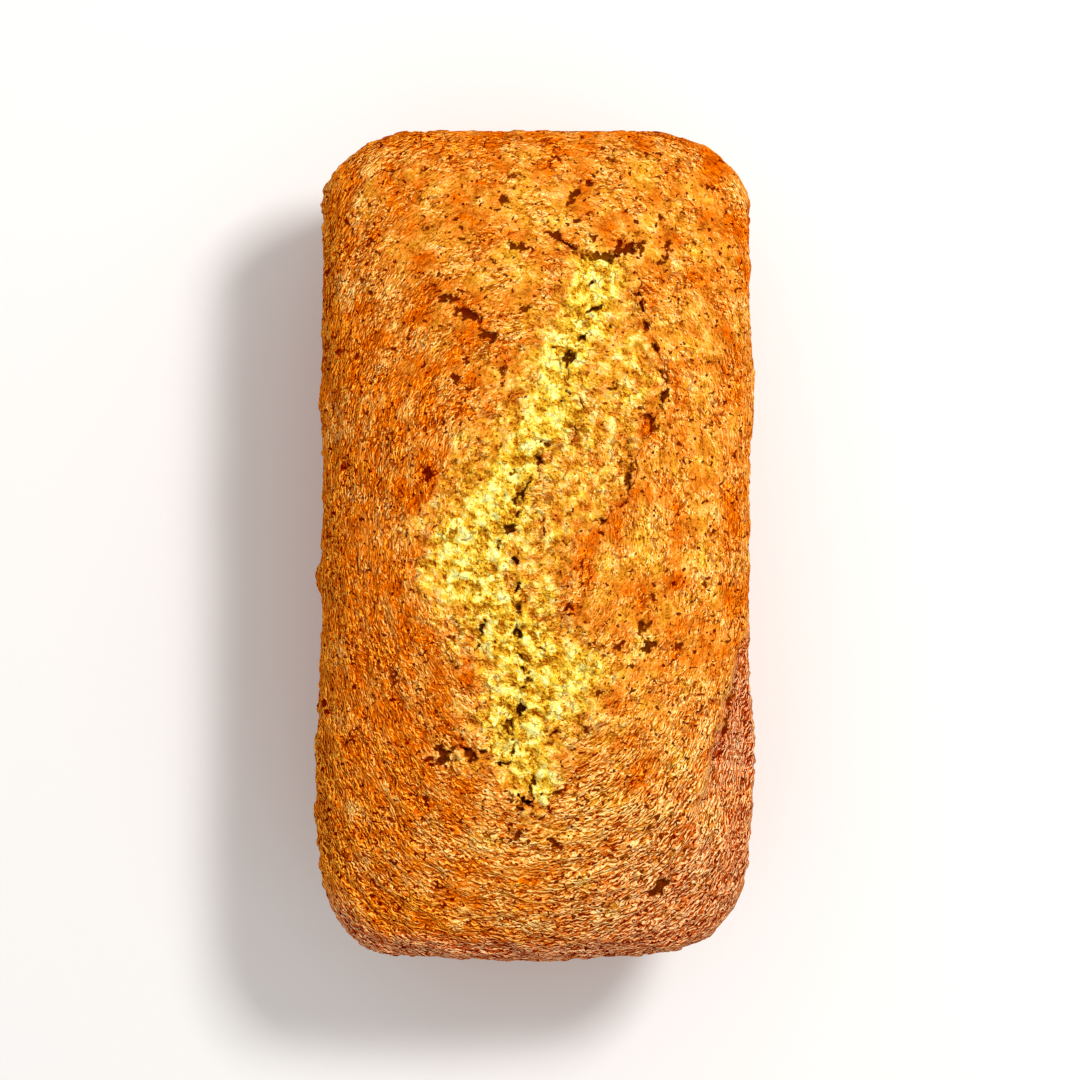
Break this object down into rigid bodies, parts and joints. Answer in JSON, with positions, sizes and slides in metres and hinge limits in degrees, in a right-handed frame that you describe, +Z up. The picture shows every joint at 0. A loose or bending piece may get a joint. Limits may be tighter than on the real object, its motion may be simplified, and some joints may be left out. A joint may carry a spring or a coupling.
{
  "type": "banana bread loaf",
  "caption": "Whole tin-baked banana bread loaf: domed brown crown with a long craggy split showing yellow crumb, tapering sides and a flat base.",
  "frame": {"origin": "middle of the flat base, on the surface that the loaf stands on", "axes": "+Y along the loaf towards its back end, +X to its right, +Z up through the crown"},
  "size_m": [0.1142, 0.2156, 0.0788],
  "materials": {
    "crust": "matt browned crust, orange-brown, darker and redder at the edges"
  },
  "bodies": {
    "root": {"loaf": "crust"}
  },
  "joints": []
}
